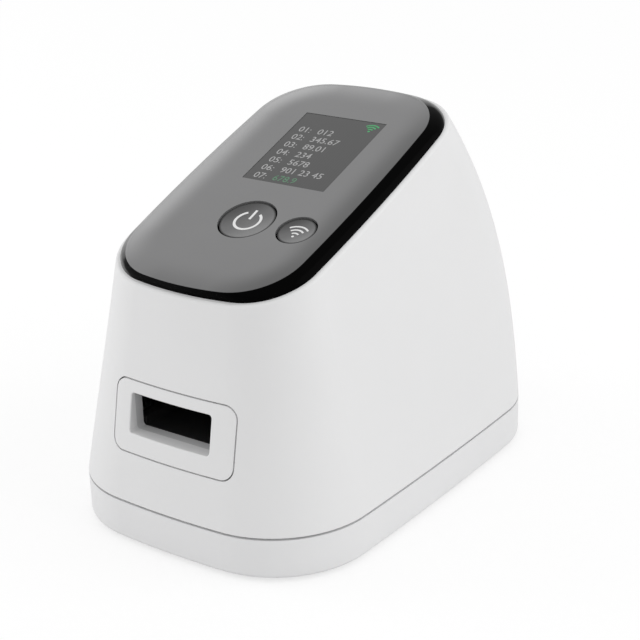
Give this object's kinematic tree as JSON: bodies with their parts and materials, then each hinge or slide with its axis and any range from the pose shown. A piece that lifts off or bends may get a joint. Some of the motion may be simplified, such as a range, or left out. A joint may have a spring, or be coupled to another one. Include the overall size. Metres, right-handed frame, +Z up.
{
  "type": "desktop blood analyzer",
  "caption": "Desktop blood analyzer for animal samples: tapered white casing, sloping glossy panel with screen and keys, card slot in front, motor-driven card carriage and optical head inside.",
  "frame": {"origin": "middle of the footprint on the table, under the rubber feet", "axes": "+Z up, +Y from the card slot at the front to the sockets at the back, +X to the right seen from the front"},
  "size_m": [0.1064, 0.1578, 0.1268],
  "materials": {
    "white_shell": "satin",
    "white_base": "satin",
    "grey_guide": "fine grain",
    "black_bezel": "high gloss",
    "smoked_lens": "high gloss",
    "screen": "gloss",
    "key_cap": "semi gloss",
    "foot_rubber": "matte",
    "adhesive": "matte",
    "display_frame": "satin",
    "circuit_board": "solder mask",
    "black_part": "fine grain",
    "frame_plastic": "fine grain",
    "carriage_plastic": "fine grain",
    "gear_plastic": "satin",
    "steel": "plated",
    "brass": "plated",
    "optic_glass": "polished",
    "battery_wrap": "shrink wrap",
    "flat_cable": "satin"
  },
  "bodies": {
    "casing": {"upper_shell": "white_shell", "slot_frame": "white_shell", "base_tray": "white_base", "slot_guide": "grey_guide", "panel_bezel": "black_bezel", "panel_lens": "smoked_lens", "screen_glass": "screen", "rubber_feet": "foot_rubber", "lens_adhesive": "adhesive", "battery_pad": "adhesive", "display_holder": "adhesive", "display_module": "display_frame", "panel_board": "circuit_board", "main_board": "circuit_board", "sensor_board": "circuit_board", "key_switches": "black_part", "home_sensor": "black_part", "board_chips": "black_part", "power_inlet": "black_part", "buzzer": "black_part", "flex_sockets": "black_part", "photodiode": "black_part", "optics_housing": "black_part", "chassis": "frame_plastic", "optics_bridge": "frame_plastic", "casing_screws": "steel", "panel_screws": "steel", "chassis_screws": "steel", "guide_rods": "steel", "stepper_motor": "steel", "motor_bracket": "steel", "motor_screws": "steel", "bracket_screws": "steel", "bridge_screws": "steel", "optics_screws": "steel", "sensor_screws": "steel", "board_screws": "steel", "usb_socket": "steel", "wireless_module": "steel", "board_spacers": "brass", "objective_lens": "optic_glass", "emission_filter": "optic_glass", "excitation_led": "optic_glass", "battery_pack": "battery_wrap", "display_cable": "flat_cable", "sensor_cable": "flat_cable"},
    "carriage": {"card_carriage": "carriage_plastic", "drive_rack": "gear_plastic"},
    "pinion": {"drive_pinion": "gear_plastic", "motor_shaft": "steel"},
    "power_key": {"power_button": "key_cap"},
    "wireless_key": {"wireless_button": "key_cap"}
  },
  "joints": [
    {"name": "carriage_slide", "type": "slide", "parent": "casing", "child": "carriage", "axis": [0, 1, 0], "range_m": [0, 0.03]},
    {"name": "pinion_spin", "type": "hinge", "parent": "casing", "child": "pinion", "pos_m": [0.0225, -0.02044, 0.02583], "axis": [1, 0, 0], "range_deg": [-305, 10]},
    {"name": "power_key_press", "type": "slide", "parent": "casing", "child": "power_key", "axis": [0, 0.342, -0.9397], "range_m": [0, 0.0006], "stiffness_N_per_m": 1000, "springref_m": -0.0002},
    {"name": "wireless_key_press", "type": "slide", "parent": "casing", "child": "wireless_key", "axis": [0, 0.342, -0.9397], "range_m": [0, 0.0006], "stiffness_N_per_m": 1000, "springref_m": -0.0002}
  ],
  "couplings": [
    {"joint": "pinion_spin", "follows": "carriage_slide", "rad_per_m": -158.73}
  ]
}
